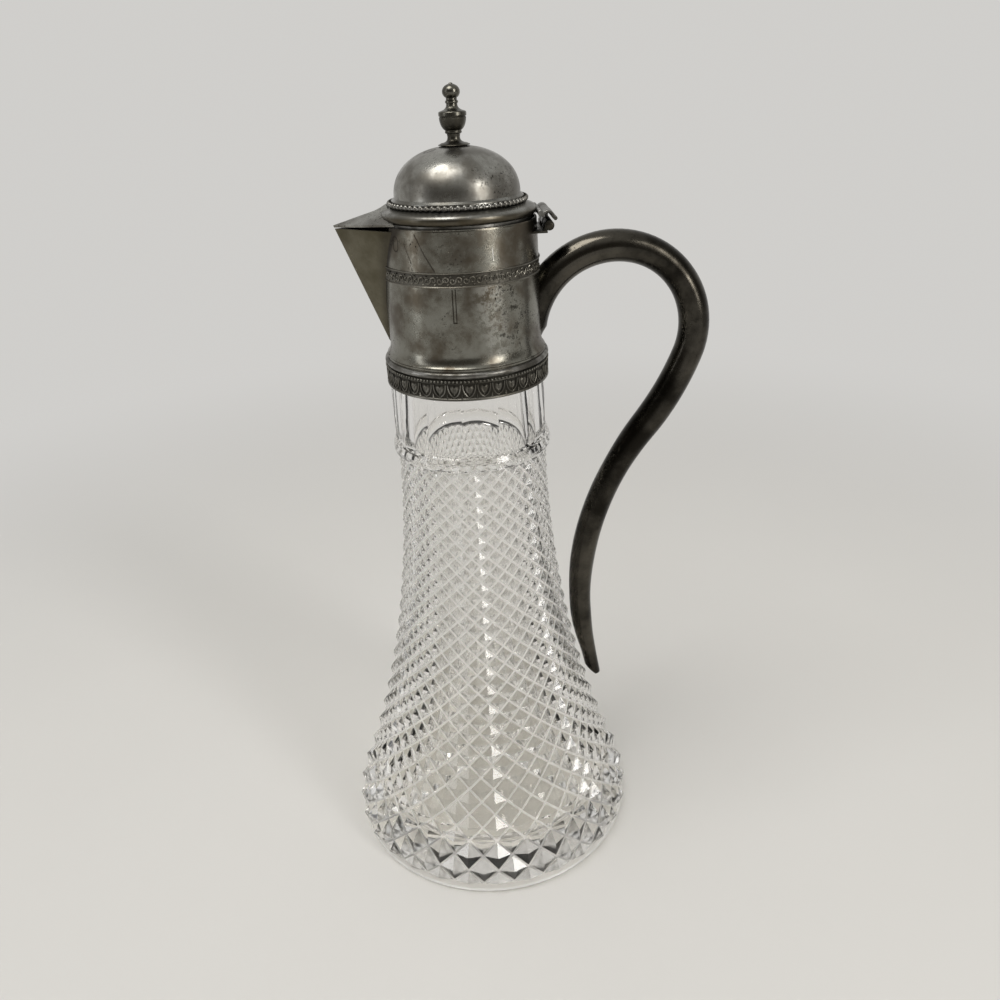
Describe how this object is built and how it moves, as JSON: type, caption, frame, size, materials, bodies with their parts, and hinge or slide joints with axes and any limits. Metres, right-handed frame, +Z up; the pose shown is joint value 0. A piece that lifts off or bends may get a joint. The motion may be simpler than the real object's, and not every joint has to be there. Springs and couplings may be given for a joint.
{
  "type": "claret jug",
  "caption": "Pressed glass serving jug with a plated metal collar, a V-shaped spout, a tube handle, and a domed lid that hinges back towards the handle.",
  "frame": {"origin": "middle of the foot's flat underside, on the jug's axis", "axes": "+Z up along the jug's axis, +X towards the handle and the hinge, the spout points to -X, the hinge pin lies along Y"},
  "size_m": [0.1503, 0.1244, 0.2982],
  "materials": {
    "glass": "clear pressed glass, fire polished",
    "plaster": "matt plaster",
    "collar_plate": "tarnished silver plate, worn and pitted",
    "ornament_plate": "tarnished silver plate, blackened in the recesses",
    "handle_plate": "heavily tarnished silver plate",
    "hinge_brass": "dull brass"
  },
  "bodies": {
    "jug": {"glass_body": "glass", "plaster_bed": "plaster", "collar_wall": "collar_plate", "leaf_band": "ornament_plate", "step_ring": "collar_plate", "scroll_band": "ornament_plate", "spout": "collar_plate", "handle_tube": "handle_plate", "hinge_bracket": "collar_plate", "knuckle_front": "collar_plate", "knuckle_back": "collar_plate", "hinge_pin": "hinge_brass"},
    "lid": {"knuckle_lid": "collar_plate", "hinge_strap": "collar_plate", "lid_flange": "collar_plate", "lid_beak": "collar_plate", "lid_bezel": "collar_plate", "bead_ring": "ornament_plate", "lid_dome": "collar_plate", "finial": "ornament_plate", "finial_washer": "hinge_brass", "finial_nut": "hinge_brass"}
  },
  "joints": [
    {"name": "lid_hinge", "type": "hinge", "parent": "jug", "child": "lid", "pos_m": [0.0296, 0, 0.255], "axis": [0, 1, 0], "range_deg": [0, 105]}
  ]
}
